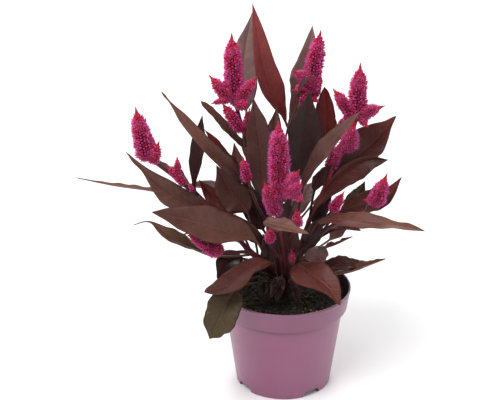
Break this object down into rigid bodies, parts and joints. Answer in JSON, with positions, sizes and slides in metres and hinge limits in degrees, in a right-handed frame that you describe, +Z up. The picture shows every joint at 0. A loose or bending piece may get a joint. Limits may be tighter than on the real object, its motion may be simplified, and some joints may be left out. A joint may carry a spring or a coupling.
{
  "type": "plume celosia",
  "caption": "Potted plume celosia: magenta feathery flower plumes over dark bronze leaves, standing in peat in a round lilac plastic nursery pot.",
  "frame": {"origin": "centre of the flat pad in the middle of the pot's underside, on the surface the pot stands on", "axes": "+Z up along the pot's axis, +X to the plant's right and +Y to its back, so that -Y is its front"},
  "size_m": [0.3012, 0.1874, 0.3491],
  "materials": {
    "pot_plastic": "satin",
    "potting_soil": "matte",
    "leaf": "satin",
    "plume": "matte"
  },
  "bodies": {
    "root": {"pot": "pot_plastic", "soil": "potting_soil", "shoot_upper_left": "leaf", "shoot_upper_right": "leaf", "shoot_right": "leaf", "shoot_front": "leaf", "shoot_left": "leaf", "shoot_low_left": "leaf", "shoot_low_right": "leaf", "shoot_back_left": "leaf", "shoot_back_right": "leaf", "shoot_back_middle": "leaf", "plume_upper_left": "plume", "plume_inner_left": "plume", "plume_upper_right": "plume", "plume_right": "plume", "plume_inner_right": "plume", "plume_front": "plume", "plume_low_front": "plume", "plume_bud": "plume", "plume_crown": "plume", "plume_left": "plume", "plume_low_left": "plume", "plume_low_right": "plume", "plume_back_left": "plume", "plume_back_right": "plume", "plume_back_middle": "plume"}
  },
  "joints": []
}
